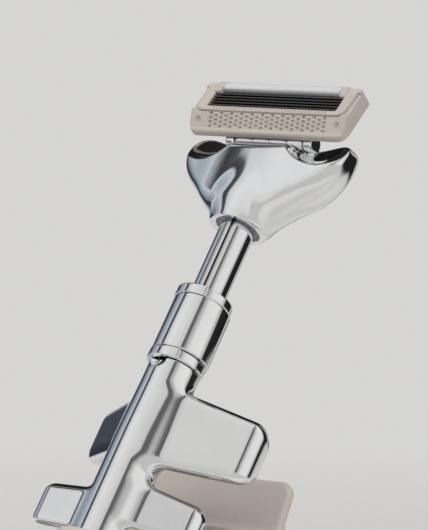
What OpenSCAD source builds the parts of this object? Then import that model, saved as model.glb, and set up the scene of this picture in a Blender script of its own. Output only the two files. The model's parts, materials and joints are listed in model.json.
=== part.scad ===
// Cartridge razor with a cast chrome handle, a telescoping stem, a pivoting cartridge and a stand.
// Origin: centre of the stand's underside on the table. +Z up, +X along the blades.
// The razor leans back towards +Y. Inside lean(), z runs along the handle's axis with 0 at the
// top of the upper collar, and y points to the razor's back.

/* [Pose] */
// lean of the razor from the vertical, degrees
lean_deg = 38; // [20:1:50]
// distance of the upper collar's top from the stand's centre, towards the back
collar_y = 26; // [10:1:40]
// height of the upper collar's top above the table
collar_z = 70; // [60:1:90]
// tilt of the cartridge's face from the handle's axis, degrees
face_tilt = 12; // [0:1:30]

/* [Stem] */
// stem radius
stem_r = 4.1; // [3:0.1:6]
// top of the stem, inside the neck
stem_top = 27; // [22:1:32]
// lower end of the stem
stem_low = -45; // [-50:1:-30]
// width of the keyway along the stem
key_w = 1.0; // [0.6:0.1:1.6]
// depth of the keyway
key_d = 0.7; // [0.4:0.1:0.9]
// turn of the keyway from the front towards +X, degrees
key_turn = 18; // [0:1:45]
// radial running clearance of the stem in its bores
run_gap = 0.06; // [0.02:0.01:0.1]

/* [Twist lock] */
// outer radius of the lock sleeve
sleeve_r = 6.85; // [6:0.05:8]
// top of the sleeve
sleeve_top = -2.6; // [-4:0.1:-2]
// bottom of the sleeve
sleeve_low = -16.6; // [-20:0.1:-12]
// radius of the collars beside their raised half
collar_r = 6.45; // [6:0.05:7]
// radius of the raised half of each collar
flange_r = 7.05; // [6.5:0.05:8]
// where the raised half begins, degrees from +X towards the front
flange_from = 52; // [0:1:90]
// angle the raised half covers
flange_arc = 176; // [90:1:200]

/* [Handle] */
// radius of the handle's round body
body_r = 6.2; // [5.5:0.1:8]
// lower end of the handle
handle_low = -76; // [-90:1:-70]
// level of the upper finger rests
upper_t = -34.2; // [-38:0.2:-28]
// level of the lower finger rests
lower_t = -54.4; // [-60:0.2:-50]
// rounding of the finger rests' edges
rest_edge = 2.8; // [1:0.1:4]

/* [Head] */
// level of the neck's end face
neck_t = 18.8; // [12:0.2:24]
// neck radius
neck_r = 6.7; // [6:0.1:8]
// level of the head's top
head_top = 41.5; // [36:0.5:46]
// half width of the head over its wings
wing_x = 22.4; // [18:0.2:26]

/* [Cartridge] */
// half width of the cartridge
cart_x = 22.3; // [18:0.1:24]
// half height of the face frame
face_h = 4.6; // [4:0.1:6]
// thickness behind the face
cart_d = 4.8; // [4:0.1:7]
// half width of the blade window
win_x = 18.5; // [14:0.5:20]
// lower edge of the blade window
win_low = -3.1; // [-4:0.1:-2]
// upper edge of the blade window
win_top = 2.45; // [2:0.05:4]
// number of blades
blades = 5; // [1:1:6]
// thickness of a blade
blade_t = 0.25; // [0.1:0.05:0.4]
// depth of a blade from edge to back
blade_d = 1.7; // [1:0.1:2.5]
// tilt of the blades
blade_tilt = 28; // [15:1:45]

/* [Stand] */
// half width of the stand's base
base_x = 26; // [22:1:34]
// front of the base
base_front = -38; // [-50:1:-30]
// back of the base
base_back = 34; // [26:1:44]
// height of the base
base_h = 17.5; // [12:0.5:24]
// corner radius of the base
base_r = 12; // [4:1:16]
// thickness of the rubber pad under the base
pad_h = 1.5; // [1:0.1:3]
// half width of the back wall
wall_x = 20; // [14:1:24]
// height of the back wall above the table
wall_h = 29; // [22:0.5:36]
// lean of the back wall from the vertical, degrees
wall_lean = 29; // [0:1:40]
// thickness of the back wall
wall_t = 3; // [2:0.2:5]

/* [Hidden] */
$fn = 64;
deep = 60;
bore_r = stem_r + run_gap;
tube_r = 2.9;
spigot_r = 5.6;
collet_r = 5.3;
collar_h = 2.5;
collar_low_t = sleeve_low - 0.1;
body_top = collar_low_t - collar_h;
bore_low = -64.5;
key_low = -24;
key_high = -20;
// the guide key's width, and how far from the axis it is held in the handle's wall
guide_w = 0.8;
guide_out = 5.7;
cap_spigot_r = 3;
stop_h = 2;
ring_r = 0.5;
ring_t = -1.2;
bush_r = 5.3;
bush_low = 19.6;
bush_top = 23;
screw_r = 1.2;
screw_t = 25;
face_y = -6.4;
face_t = 51.3;
// the cartridge pivots about this line, along X
pivot_y = -1.2;
pivot_t = 42.5;
hub_r = 2.2;
hub_x = 9.6;
pin_r = 0.75;
pin_gap = 0.05;
pin_x = 11.6;
hub_gap = 0.35;
// the pivot line seen from the cartridge: depth behind the face and level on it
hub_depth = (pivot_y - face_y) * cos(face_tilt) - (pivot_t - face_t) * sin(face_tilt);
hub_level = (pivot_y - face_y) * sin(face_tilt) + (pivot_t - face_t) * cos(face_tilt);
hub_end = hub_x + 0.3;
ear_r = 2.1;
ear_foot_y = 1.7;
ear_w = 2.4;
plunger_y = 1.3;
plunger_r = 1.0;
plunger_low = 33.4;
plunger_top = 40.1;
heel_floor = 38.0;
plunger_bore_low = 29;
tongue_x = 7.4;
tongue_t = 1.6;
tongue_low = -8.2;
tongue_top = -2.4;
boss_low = -5.0;
tongue_y = 6.4;
guard_low = -8.4;
guard_drop = 2.7;
lip_h = 0.8;
dimple_r = 0.36;
socket_r = body_r + 0.05;
liner_r = 7.6;
boss_r = 9.6;
boss_top = -65.6;
pocket_z = 10.6;
plate_z = 3.4;

// ---- frames

// the razor's own frame: z along the handle, y to the back
module lean() {
    translate([0, collar_y, collar_z])
        rotate([-lean_deg, 0, 0])
            children();
}

// the cartridge's frame: z from guard to strip, y from the face to the back
module cart() {
    lean()
        translate([0, face_y, face_t])
            rotate([-face_tilt, 0, 0])
                children();
}

// a round bar along z between two levels
module rod(r, low, high) {
    translate([0, 0, low])
        cylinder(r = r, h = high - low);
}

// a round tube along z between two levels
module tube(r_out, r_in, low, high) {
    difference() {
        rod(r_out, low, high);
        rod(r_in, low - 1, high + 1);
    }
}

// a box given by its two opposite corners
module span(a, b) {
    translate(a)
        cube(b - a);
}

// a round bar along x
module bar(r, x, y, z) {
    translate([-x, y, z])
        rotate([0, 90, 0])
            cylinder(r = r, h = 2 * x);
}

// a slab with rounded upright edges
module slab(x, front, back, low, high, r) {
    translate([0, 0, low])
        linear_extrude(high - low)
            union() {
                translate([-x, front + r])
                    square([2 * x, back - front - 2 * r]);
                translate([-x + r, front])
                    square([2 * (x - r), back - front]);
                for (sx = [-1, 1])
                    for (y = [front + r, back - r])
                        translate([sx * (x - r), y])
                            circle(r = r);
            }
}

// ---- stand

module wall_profile() {
    rise = wall_h - pocket_z;
    back = rise * tan(wall_lean);
    polygon([[0, 0], [back, rise], [back + wall_t, rise], [wall_t + 2, 0]]);
}

module stand_wall() {
    corner = 3;
    foot_y = collar_y + 0.1 - (base_h + 0.5 - pocket_z) * tan(wall_lean);
    intersection() {
        translate([-wall_x, foot_y, pocket_z])
            rotate([90, 0, 90])
                linear_extrude(2 * wall_x)
                    wall_profile();
        // the upper corners of the wall are rounded as seen from the front
        translate([0, base_back + 20, 0])
            rotate([90, 0, 0])
                linear_extrude(80)
                    union() {
                        translate([-wall_x, 0])
                            square([2 * wall_x, wall_h - corner]);
                        translate([-wall_x + corner, 0])
                            square([2 * (wall_x - corner), wall_h]);
                        for (sx = [-1, 1])
                            translate([sx * (wall_x - corner), wall_h - corner])
                                circle(r = corner);
                    }
    }
}

module stand_rib() {
    rib_r = 3;
    rib_y = collar_y - 11;
    rib_z = 17;
    rib_x = 17;
    bar(rib_r, rib_x, rib_y, rib_z);
    span([-rib_x, rib_y - rib_r, pocket_z - 1], [rib_x, rib_y + rib_r, rib_z]);
}

module stand_shell() {
    color([0.72, 0.69, 0.66])
        difference() {
            union() {
                difference() {
                    slab(base_x, base_front, base_back, pad_h, base_h, base_r);
                    // the tray the lower finger rests stand in
                    slab(base_x - 3, base_front + 3, collar_y - 3, pocket_z, base_h + 1, base_r - 3);
                }
                stand_wall();
                stand_rib();
                // angled boss around the handle's end
                intersection() {
                    lean()
                        rod(boss_r, handle_low - 8, boss_top);
                    slab(base_x - 1, base_front + 1, base_back - 1, pad_h, 60, base_r - 1);
                }
            }
            lean()
                rod(liner_r, handle_low - 0.2, 0);
            // recess for the ballast plate
            slab(base_x - 4, base_front + 4, base_back - 4, pad_h - 1, plate_z, base_r - 4);
            for (y = [base_front + 12, base_back - 12])
                translate([0, y, 0])
                    rod(screw_r, 0, plate_z + 3.5);
        }
}

module stand_ballast_plate() {
    color([0.5, 0.5, 0.52])
        difference() {
            slab(base_x - 4, base_front + 4, base_back - 4, pad_h, plate_z, base_r - 4);
            for (y = [base_front + 12, base_back - 12])
                translate([0, y, 0])
                    rod(screw_r, 0, plate_z + 1);
        }
}

module stand_base_pad() {
    color([0.2, 0.2, 0.2])
        slab(base_x - 0.6, base_front + 0.6, base_back - 0.6, 0, pad_h, base_r - 0.6);
}

module stand_screws() {
    color([0.6, 0.6, 0.62])
        for (y = [base_front + 12, base_back - 12])
            translate([0, y, 0])
                rod(screw_r, pad_h, plate_z + 3.5);
}

module socket_liner() {
    color([0.3, 0.3, 0.3])
        lean()
            tube(liner_r, socket_r, handle_low - 0.2, boss_top);
}

// ---- handle

// one finger rest: a rounded block that tapers outwards from the handle
module finger_rest(turn, level, reach, root_h, tip_h, thick, tip_shift) {
    e = rest_edge;
    y = thick / 2 - e;
    rotate([0, 0, -turn])
        hull()
            for (sy = [-1, 1])
                for (sz = [-1, 1]) {
                    translate([reach - e, sy * y, level + tip_shift + sz * (tip_h / 2 - e)])
                        sphere(r = e, $fn = 24);
                    translate([2, sy * y, level + sz * (root_h / 2 - e)])
                        sphere(r = e, $fn = 24);
                }
}

module handle_body() {
    color([0.86, 0.87, 0.88])
        lean()
            difference() {
                union() {
                    rod(body_r, handle_low + 1.6, body_top);
                    rod(spigot_r, body_top - 1, -8);
                    finger_rest(-26, upper_t, 27, 20, 14.6, 10.5, 0.6);
                    finger_rest(-148, upper_t, 23.4, 17.6, 14.8, 10, 0.4);
                    finger_rest(176, lower_t - 3.5, 17.6, 12, 10.6, 9.5, 0);
                    finger_rest(-32, lower_t, 21, 12.6, 11, 10, -0.4);
                }
                rod(bore_r, bore_low, 0);
                rotate([0, 0, key_turn])
                    span([-guide_w / 2, -guide_out, key_low], [guide_w / 2, 0, key_high]);
                rod(cap_spigot_r, handle_low, handle_low + 6);
            }
}

module handle_end_cap() {
    color([0.86, 0.87, 0.88])
        lean() {
            rod(body_r, handle_low, handle_low + 1.6);
            rod(cap_spigot_r, handle_low + 1, handle_low + 6);
        }
}

// a collar whose front left half stands proud
module stop_collar(r_in, low, high) {
    difference() {
        union() {
            rod(collar_r, low, high);
            translate([0, 0, low])
                rotate([0, 0, -flange_from - flange_arc])
                    rotate_extrude(angle = flange_arc)
                        square([flange_r, high - low]);
        }
        rod(r_in, low - 1, high + 1);
    }
}

module lower_collar() {
    color([0.86, 0.87, 0.88])
        lean()
            stop_collar(spigot_r, body_top, collar_low_t);
}

module upper_collar() {
    color([0.86, 0.87, 0.88])
        lean()
            difference() {
                stop_collar(stem_r + 0.35, -collar_h, 0);
                rod(stem_r + run_gap + 2 * ring_r, ring_t - ring_r, ring_t + ring_r);
            }
}

module o_ring() {
    color([0.1, 0.1, 0.1])
        lean()
            translate([0, 0, ring_t])
                rotate_extrude()
                    translate([bore_r + ring_r, 0])
                        circle(r = ring_r);
}

module collet() {
    slit = 0.6;
    color([0.7, 0.7, 0.6])
        lean()
            difference() {
                tube(collet_r, bore_r, -8, -collar_h);
                for (a = [0, 90])
                    rotate([0, 0, a + 45])
                        span([-slit / 2, -10, -6.8], [slit / 2, 10, -collar_h + 1]);
            }
}

module guide_key() {
    color([0.5, 0.5, 0.52])
        lean()
            rotate([0, 0, key_turn])
                span([-guide_w / 2, -guide_out, key_low], [guide_w / 2, key_d - 0.25 - stem_r, key_high]);
}

module lock_sleeve() {
    color([0.86, 0.87, 0.88])
        lean()
            tube(sleeve_r, spigot_r + 0.05, sleeve_low, sleeve_top);
}

// ---- stem and head

module stem() {
    color([0.84, 0.85, 0.86])
        lean()
            difference() {
                tube(stem_r, tube_r, stem_low, stem_top);
                rotate([0, 0, key_turn])
                    span([-key_w / 2, -deep, stem_low - 1], [key_w / 2, -stem_r + key_d, neck_t - 0.4]);
            }
}

module stem_end_stop() {
    color([0.5, 0.5, 0.52])
        lean() {
            rod(stem_r, stem_low - stop_h, stem_low);
            rod(tube_r, stem_low - 0.5, stem_low + 5);
        }
}

// flared neck between the round end and the wings
module neck_profile() {
    flare_r = 24.4;
    flare_h = 8.7;
    difference() {
        translate([0, neck_t])
            square([neck_r + 1.6, flare_h]);
        translate([neck_r + flare_r, neck_t])
            circle(r = flare_r, $fn = 96);
    }
}

// the wings and the broad middle between them, higher at the back than at the front
module wings() {
    end_r = 5;
    low_r = 4.4;
    mid_r = 4.2;
    hull() {
        for (side = [-1, 1]) {
            translate([side * (wing_x - end_r - 0.6), 3.2, head_top - 2.6])
                sphere(r = end_r, $fn = 24);
            translate([side * (wing_x - end_r), -2.0, head_top - 7.2])
                sphere(r = end_r, $fn = 24);
            translate([side * (wing_x - end_r - 1), -0.6, head_top - 9.8])
                sphere(r = low_r, $fn = 24);
        }
        for (y = [-3, 3])
            translate([0, y, 28.5])
                sphere(r = mid_r, $fn = 24);
    }
}

module head() {
    scoop_r = 9;
    scoop_x = 17.3;
    color([0.86, 0.87, 0.88])
        lean()
            difference() {
                union() {
                    rotate_extrude()
                        neck_profile();
                    wings();
                    // ears for the pivot pins
                    for (s = [-1, 1])
                        translate([s * (hub_end + ear_w / 2), pivot_y, pivot_t]) {
                            bar(ear_r, ear_w / 2, 0, 0);
                            span([-ear_w / 2, -ear_foot_y, -4], [ear_w / 2, ear_foot_y, 0.3]);
                        }
                }
                // scoops on the front of each wing's top
                for (s = [-1, 1])
                    translate([s * scoop_x, -5.5, head_top + 5.6])
                        sphere(r = scoop_r, $fn = 96);
                // trough under the hub
                bar(hub_r + hub_gap, hub_end, pivot_y, pivot_t);
                span([-hub_end, -12, pivot_t - 1.9], [hub_end, pivot_y + 5.4, pivot_t + 8]);
                // clearance for the heel over the plunger
                span([-3.4, pivot_y - 0.8, heel_floor], [3.4, 12, pivot_t + 8]);
                bar(pin_r + pin_gap, pin_x + 0.2, pivot_y, pivot_t);
                translate([0, plunger_y, 0])
                    rod(plunger_r + 0.05, plunger_bore_low, deep);
                rod(stem_r, neck_t - 1, stem_top);
                rod(bush_r, neck_t - 1, bush_top);
                translate([0, 0, screw_t])
                    rotate([-90, 0, 0])
                        cylinder(r = screw_r, h = 20);
            }
}

module neck_bush() {
    color([0.45, 0.46, 0.47])
        lean()
            tube(bush_r, stem_r, bush_low, bush_top);
}

module head_set_screw() {
    color([0.5, 0.5, 0.52])
        lean()
            translate([0, 0, screw_t])
                rotate([-90, 0, 0])
                    difference() {
                        rod(screw_r, stem_r + 0.1, 7);
                        translate([0, 0, 5.4])
                            cylinder(r = 0.65, h = 4, $fn = 6);
                    }
}

module return_plunger() {
    color([0.3, 0.3, 0.32])
        lean()
            translate([0, plunger_y, 0])
                rod(plunger_r, plunger_low, plunger_top);
}

module plunger_spring() {
    wire = 0.25;
    turns = 4;
    pitch = (plunger_low - plunger_bore_low) / turns;
    color([0.6, 0.6, 0.62])
        lean()
            translate([0, plunger_y, 0])
                for (i = [0:turns - 1])
                    translate([0, 0, plunger_bore_low + wire + i * (pitch - 0.08)])
                        rotate_extrude()
                            translate([plunger_r - wire - 0.1, 0])
                                circle(r = wire, $fn = 24);
}

module pivot_carrier() {
    heel_y = 4.0;
    heel_x = 2.6;
    color([0.86, 0.87, 0.88])
        lean()
            difference() {
                union() {
                    bar(hub_r, hub_x, pivot_y, pivot_t);
                    // heel that presses on the plunger
                    span([-heel_x, pivot_y, pivot_t - hub_r], [heel_x, pivot_y + heel_y, pivot_t - 0.6]);
                    translate([0, face_y, face_t])
                        rotate([-face_tilt, 0, 0])
                            span([-tongue_x, tongue_y - tongue_t / 2, tongue_low],
                                 [tongue_x, tongue_y + tongue_t / 2, tongue_top]);
                }
                bar(pin_r, pin_x, pivot_y, pivot_t);
            }
}

module pivot_pins() {
    pin_in = 6;
    color([0.6, 0.6, 0.62])
        lean()
            for (s = [-1, 1])
                translate([s * (pin_x + pin_in) / 2, pivot_y, pivot_t])
                    bar(pin_r, (pin_x - pin_in) / 2, 0, 0);
}

// ---- cartridge

module cartridge_base() {
    back = cart_d;
    color([0.74, 0.71, 0.67])
        cart()
            difference() {
                union() {
                    span([-cart_x, 1.5, -face_h], [cart_x, back, face_h]);
                    // ledge behind the guard
                    span([-cart_x, 3.2, -7.2], [cart_x, back, -face_h]);
                    // boss with the slot for the carrier's tongue
                    span([-tongue_x - 1.8, back, boss_low], [tongue_x + 1.8, tongue_y + 1.9, tongue_top + 1.4]);
                }
                span([-win_x, 0, win_low], [win_x, 3.6, win_top]);
                span([-tongue_x - 0.3, tongue_y - tongue_t / 2 - 0.3, -deep],
                     [tongue_x + 0.3, tongue_y + tongue_t / 2 + 0.3, tongue_top + 0.3]);
                // clearance over the carrier's hub
                bar(hub_r + hub_gap, hub_end + ear_w + 0.7, hub_depth, hub_level);
            }
}

module cartridge_frame() {
    ribs = 34;
    pitch = 0.94;
    color([0.76, 0.73, 0.69])
        cart()
            difference() {
                span([-cart_x, 0, -face_h], [cart_x, 1.5, face_h]);
                span([-win_x, -1, win_low], [win_x, 2, win_top]);
                // channel for the strip
                span([-16.6, -1, win_top - 0.5], [16.6, 2, face_h + 1]);
                // comb grooves under the window
                for (i = [0:ribs - 1])
                    translate([(i - (ribs - 1) / 2) * pitch, 0, -3.85])
                        rotate([0, 20, 0])
                            span([-0.2, -1, -0.5], [0.2, 0.18, 0.5]);
            }
}

module guard_profile() {
    polygon([[0.25, -face_h], [0.25 + guard_drop, guard_low], [0.4 + guard_drop + 0.8, guard_low - lip_h],
             [cart_d - 0.2, guard_low - lip_h], [cart_d - 0.2, -7.2], [3.2, -7.2], [3.2, -face_h]]);
}

module guard_pad() {
    columns = 23;
    pitch = 1.46;
    row = 1.0;
    slope = atan(guard_drop / (-face_h - guard_low));
    color([0.70, 0.68, 0.62])
        cart()
            difference() {
                translate([-cart_x + 0.4, 0, 0])
                    rotate([90, 0, 90])
                        linear_extrude(2 * cart_x - 0.8)
                            guard_profile();
                translate([0, 0.25 + guard_drop / 2, (guard_low - face_h) / 2])
                    rotate([slope, 0, 0])
                        for (i = [0:columns - 1])
                            for (j = [0:3 - i % 2])
                                translate([(i - (columns - 1) / 2) * pitch, 0, (j - (3 - i % 2) / 2) * row])
                                    rotate([-90, 0, 0])
                                        translate([0, 0, -1])
                                            cylinder(r = dimple_r, h = 1.25, $fn = 24);
            }
}

module lubricating_strip() {
    color([0.85, 0.87, 0.87])
        cart()
            union() {
                span([-16.6, -0.1, win_top], [16.6, 1.5, face_h - 0.6]);
                span([-16.6, 0.5, face_h - 0.6], [16.6, 1.5, face_h]);
                bar(0.6, 16.6, 0.5, face_h - 0.6);
                bar(0.6, 16.6, 0.5, win_top + 0.6);
            }
}

// one blade, counted from the guard
module blade(i) {
    step = (win_top - win_low - 0.9) / blades;
    color([0.35, 0.36, 0.38])
        cart()
            translate([0, 0.35, win_low + 0.35 + (i - 0.5) * step])
                rotate([blade_tilt, 0, 0])
                    span([-win_x, 0, -blade_t], [win_x, blade_d, 0]);
}

module blade_1() { blade(1); }
module blade_2() { blade(2); }
module blade_3() { blade(3); }
module blade_4() { blade(4); }
module blade_5() { blade(5); }

stand_shell();
stand_ballast_plate();
stand_base_pad();
stand_screws();
socket_liner();
handle_body();
handle_end_cap();
lower_collar();
upper_collar();
collet();
o_ring();
guide_key();
lock_sleeve();
stem();
stem_end_stop();
head();
neck_bush();
head_set_screw();
return_plunger();
plunger_spring();
pivot_carrier();
pivot_pins();
cartridge_base();
cartridge_frame();
guard_pad();
lubricating_strip();
blade_1();
blade_2();
blade_3();
blade_4();
blade_5();
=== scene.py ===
"""Looks for the cartridge razor: chrome surfaces, the moulded cartridge and its stand.

Chrome and moulded parts are built as fields in millimetres: a function that is negative inside the
part and grows with the distance from its surface. surface() meshes the place where a field is 0.
"""
import json
import math
from collections import namedtuple

import bpy
import numpy as np
from mathutils import Matrix, Vector


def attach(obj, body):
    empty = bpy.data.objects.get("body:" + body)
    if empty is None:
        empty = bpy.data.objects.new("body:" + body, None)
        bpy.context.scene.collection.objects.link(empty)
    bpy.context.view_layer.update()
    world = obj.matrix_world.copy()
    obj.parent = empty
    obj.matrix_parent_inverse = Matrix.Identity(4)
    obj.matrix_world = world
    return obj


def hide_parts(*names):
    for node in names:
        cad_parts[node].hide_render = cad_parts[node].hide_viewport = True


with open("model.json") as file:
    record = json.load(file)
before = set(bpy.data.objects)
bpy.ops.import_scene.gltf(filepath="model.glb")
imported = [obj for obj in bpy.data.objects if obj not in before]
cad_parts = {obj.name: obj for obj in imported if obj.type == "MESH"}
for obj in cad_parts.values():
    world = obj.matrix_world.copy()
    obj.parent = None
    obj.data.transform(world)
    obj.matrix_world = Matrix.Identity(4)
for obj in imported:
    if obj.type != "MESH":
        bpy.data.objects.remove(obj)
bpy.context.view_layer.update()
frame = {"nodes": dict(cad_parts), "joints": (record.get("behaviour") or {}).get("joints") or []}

MM = 0.001
JOINTS = {joint["name"]: joint for joint in frame["joints"]}


# ---- places measured on the CAD model

def vertices(node):
    """A CAD node's points, in metres."""
    mesh = frame["nodes"][node].data
    flat = np.empty(3 * len(mesh.vertices))
    mesh.vertices.foreach_get("co", flat)
    return flat.reshape(-1, 3)


class Place:
    """A frame in millimetres: x across the razor, y to the back and z along an axis of the CAD model."""

    def __init__(self, axis, origin):
        z = Vector(axis).normalized()
        x = Vector((1, 0, 0))
        self.turn = Matrix((x, z.cross(x), z)).transposed()
        self.origin = Vector(origin)

    def world(self, points):
        return np.asarray(points) @ np.array(self.turn).T * MM + np.array(self.origin)

    def local(self, points):
        return (np.asarray(points) - np.array(self.origin)) @ np.array(self.turn) / MM

    def box(self, *nodes):
        """Lowest and highest corner of CAD nodes in this frame."""
        points = self.local(np.concatenate([vertices(node) for node in nodes]))
        return points.min(0), points.max(0)


def razor_place():
    """z along the handle, with 0 at the top of the upper collar."""
    twist = JOINTS["lock_sleeve_twist"]
    place = Place(twist["axis"], twist["pos_m"])
    top = place.box("upper_collar")[1][2]
    place.origin = Vector(place.world((0, 0, top)))
    return place


def cartridge_place():
    """z from the guard to the strip and y into the cartridge, with 0 at the middle of its face."""
    place = Place(JOINTS["cartridge_pull_off"]["axis"], (0, 0, 0))
    low, high = place.box("cartridge_frame")
    place.origin = Vector(place.world((0, low[1], (low[2] + high[2]) / 2)))
    return place


RAZOR = razor_place()
CART = cartridge_place()
STAND = Place((0, 0, 1), (0, 0, 0))


# ---- fields

def smooth_min(a, b, k):
    """The union of two fields with a fillet of about k."""
    h = np.clip(0.5 + 0.5 * (b - a) / k, 0, 1)
    return b + (a - b) * h - k * h * (1 - h)


def smooth_max(a, b, k):
    """What two fields share, with its edge rounded by about k."""
    return -smooth_min(-a, -b, k)


def rounded(a, b, edge):
    """What two fields share, with an arc of radius edge where they meet."""
    a = a + edge
    b = b + edge
    outside = np.sqrt(np.maximum(a, 0)**2 + np.maximum(b, 0)**2)
    return outside + np.minimum(np.maximum(a, b), 0) - edge


def ease(value, start, end):
    """0 up to start and 1 from end, with a smooth rise between them."""
    t = np.clip((value - start) / (end - start), 0, 1)
    return t * t * (3 - 2 * t)


def block(x, y, z, half, edge):
    """A box about 0 with rounded edges."""
    q = [np.abs(v) - h + edge for v, h in zip((x, y, z), half)]
    outside = np.sqrt(sum(np.maximum(v, 0)**2 for v in q))
    return outside + np.minimum(np.maximum(np.maximum(q[0], q[1]), q[2]), 0) - edge


def span(p, low, high, edge):
    """A box given by two corners, with rounded edges."""
    middle = [(a + b) / 2 for a, b in zip(low, high)]
    half = [(b - a) / 2 for a, b in zip(low, high)]
    return block(p[..., 0] - middle[0], p[..., 1] - middle[1], p[..., 2] - middle[2], half, edge)


def flat_round(u, v, half_u, half_v, corner):
    """A rectangle with round corners, seen square on."""
    return rounded(np.abs(u) - half_u, np.abs(v) - half_v, corner)


def rod(out, radius, z, low, high, edge):
    """A round bar along z whose rims are rounded; out is the distance from its axis."""
    return rounded(out - radius, np.maximum(low - z, z - high), edge)


# ---- meshes

CORNERS = np.array([(i, j, k) for i in (0, 1) for j in (0, 1) for k in (0, 1)])
CELL_EDGES = [(a, b) for a in range(8) for b in range(a + 1, 8)
              if np.abs(CORNERS[a] - CORNERS[b]).sum() == 1]


def gradient(field, points, reach=0.02):
    """The field's slope at each point, measured over reach to either side."""
    slope = np.empty_like(points)
    for axis in range(3):
        shift = np.zeros(3)
        shift[axis] = reach
        slope[:, axis] = (field(points + shift) - field(points - shift)) / (2 * reach)
    return slope


def net(field, low, high, step):
    """Points and four-sided faces where the field changes sign on a grid."""
    axes = [np.arange(a, b + step, step) for a, b in zip(low, high)]
    value = field(np.stack(np.meshgrid(*axes, indexing="ij"), -1))
    inside = value < 0
    cells = tuple(n - 1 for n in inside.shape)
    count = sum(inside[i:i + cells[0], j:j + cells[1], k:k + cells[2]].astype(np.int8)
                for i, j, k in CORNERS)
    # one point in each cell that the surface crosses, at the mean of the crossings on its edges
    where = np.argwhere((count > 0) & (count < 8))
    at = np.full(cells, -1, np.int64)
    at[tuple(where.T)] = np.arange(len(where))
    total = np.zeros((len(where), 3))
    crossings = np.zeros(len(where))
    for a, b in CELL_EDGES:
        va = value[tuple((where + CORNERS[a]).T)]
        vb = value[tuple((where + CORNERS[b]).T)]
        hit = (va < 0) != (vb < 0)
        t = np.where(hit, va / np.where(hit, va - vb, 1), 0)
        total += np.where(hit[:, None], CORNERS[a] + t[:, None] * (CORNERS[b] - CORNERS[a]), 0)
        crossings += hit
    points = np.array(low) + step * (where + total / crossings[:, None])
    # one face for each grid edge that the surface crosses, through the four cells round that edge
    faces = []
    for axis in range(3):
        u, v = (axis + 1) % 3, (axis + 2) % 3
        ahead = np.roll(inside, -1, axis)
        change = inside != ahead
        change[tuple(slice(-1, None) if n == axis else slice(None) for n in range(3))] = False
        spots = np.argwhere(change)
        spots = spots[(spots[:, u] > 0) & (spots[:, v] > 0)
                      & (spots[:, u] < cells[u]) & (spots[:, v] < cells[v])]
        step_u, step_v = np.eye(3, dtype=int)[u], np.eye(3, dtype=int)[v]
        ring = [at[tuple((spots - shift).T)] for shift in (0 * step_u, step_u, step_u + step_v, step_v)]
        quad = np.stack(ring, 1)
        outward = inside[tuple(spots.T)]
        faces.append(np.where(outward[:, None], quad, quad[:, ::-1]))
    return points, np.concatenate(faces)


def mesh_object(name, mesh):
    """A new object in the scene, for a mesh."""
    piece = bpy.data.objects.new(name, mesh)
    bpy.context.scene.collection.objects.link(piece)
    return piece


def surface(name, place, field, low, high, step):
    """A mesh object where the field is 0, with the field's own normals."""
    points, faces = net(field, low, high, step)
    # move the points onto the surface
    for _ in range(4):
        slope = gradient(field, points)
        move = -field(points)[:, None] * slope / np.maximum((slope**2).sum(1), 0.1)[:, None]
        length = np.linalg.norm(move, axis=1)[:, None]
        points = points + move * np.minimum(1, 0.5 * step / np.maximum(length, 1e-9))
    normals = gradient(field, points, 0.1 * step) @ np.array(place.turn).T
    normals /= np.maximum(np.linalg.norm(normals, axis=1), 1e-9)[:, None]
    mesh = bpy.data.meshes.new(name)
    mesh.from_pydata(place.world(points).tolist(), [], faces.tolist())
    mesh.validate()
    mesh.shade_smooth()
    mesh.normals_split_custom_set_from_vertices(normals.tolist())
    return mesh_object(name, mesh)


def rings(name, place, loops, closed):
    """A mesh through loops of points. closed joins the last loop to the first; if not, it is capped."""
    count = len(loops[0])
    faces = []
    for i in range(len(loops) if closed else len(loops) - 1):
        a, b = i * count, (i + 1) % len(loops) * count
        faces += [(a + j, a + (j + 1) % count, b + (j + 1) % count, b + j) for j in range(count)]
    if not closed:
        last = (len(loops) - 1) * count
        faces += [tuple(reversed(range(count))), tuple(range(last, last + count))]
    mesh = bpy.data.meshes.new(name)
    mesh.from_pydata(place.world(np.concatenate(loops)).tolist(), [], faces)
    mesh.validate()
    mesh.shade_smooth()
    mesh.set_sharp_from_angle(angle=math.radians(32))
    return mesh_object(name, mesh)


def rounded_outline(corners, radius, steps=5):
    """Points round a polygon whose corners are replaced by arcs. Corners are given anticlockwise."""
    out = []
    for i, corner in enumerate(corners):
        here = np.array(corner, float)
        before = np.array(corners[i - 1], float) - here
        after = np.array(corners[(i + 1) % len(corners)], float) - here
        before /= np.linalg.norm(before)
        after /= np.linalg.norm(after)
        half = math.acos(np.clip(before @ after, -1, 1)) / 2
        cut = radius / math.tan(half)
        centre = here + (before + after) / np.linalg.norm(before + after) * radius / math.sin(half)
        start, end = here + before * cut - centre, here + after * cut - centre
        sweep = math.atan2(start[0] * end[1] - start[1] * end[0], start @ end)
        for k in range(steps + 1):
            a = sweep * k / steps
            turn = np.array([[math.cos(a), -math.sin(a)], [math.sin(a), math.cos(a)]])
            out.append(centre + turn @ start)
    return out


def revolve(name, place, outline, segments=160):
    """A round mesh from a closed outline of (radius, z) points."""
    loops = []
    for i in range(segments):
        a = 2 * math.pi * i / segments
        loops.append(np.array([(r * math.cos(a), r * math.sin(a), z) for r, z in outline]))
    return rings(name, place, loops, closed=True)


# ---- the razor's parts as fields

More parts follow.
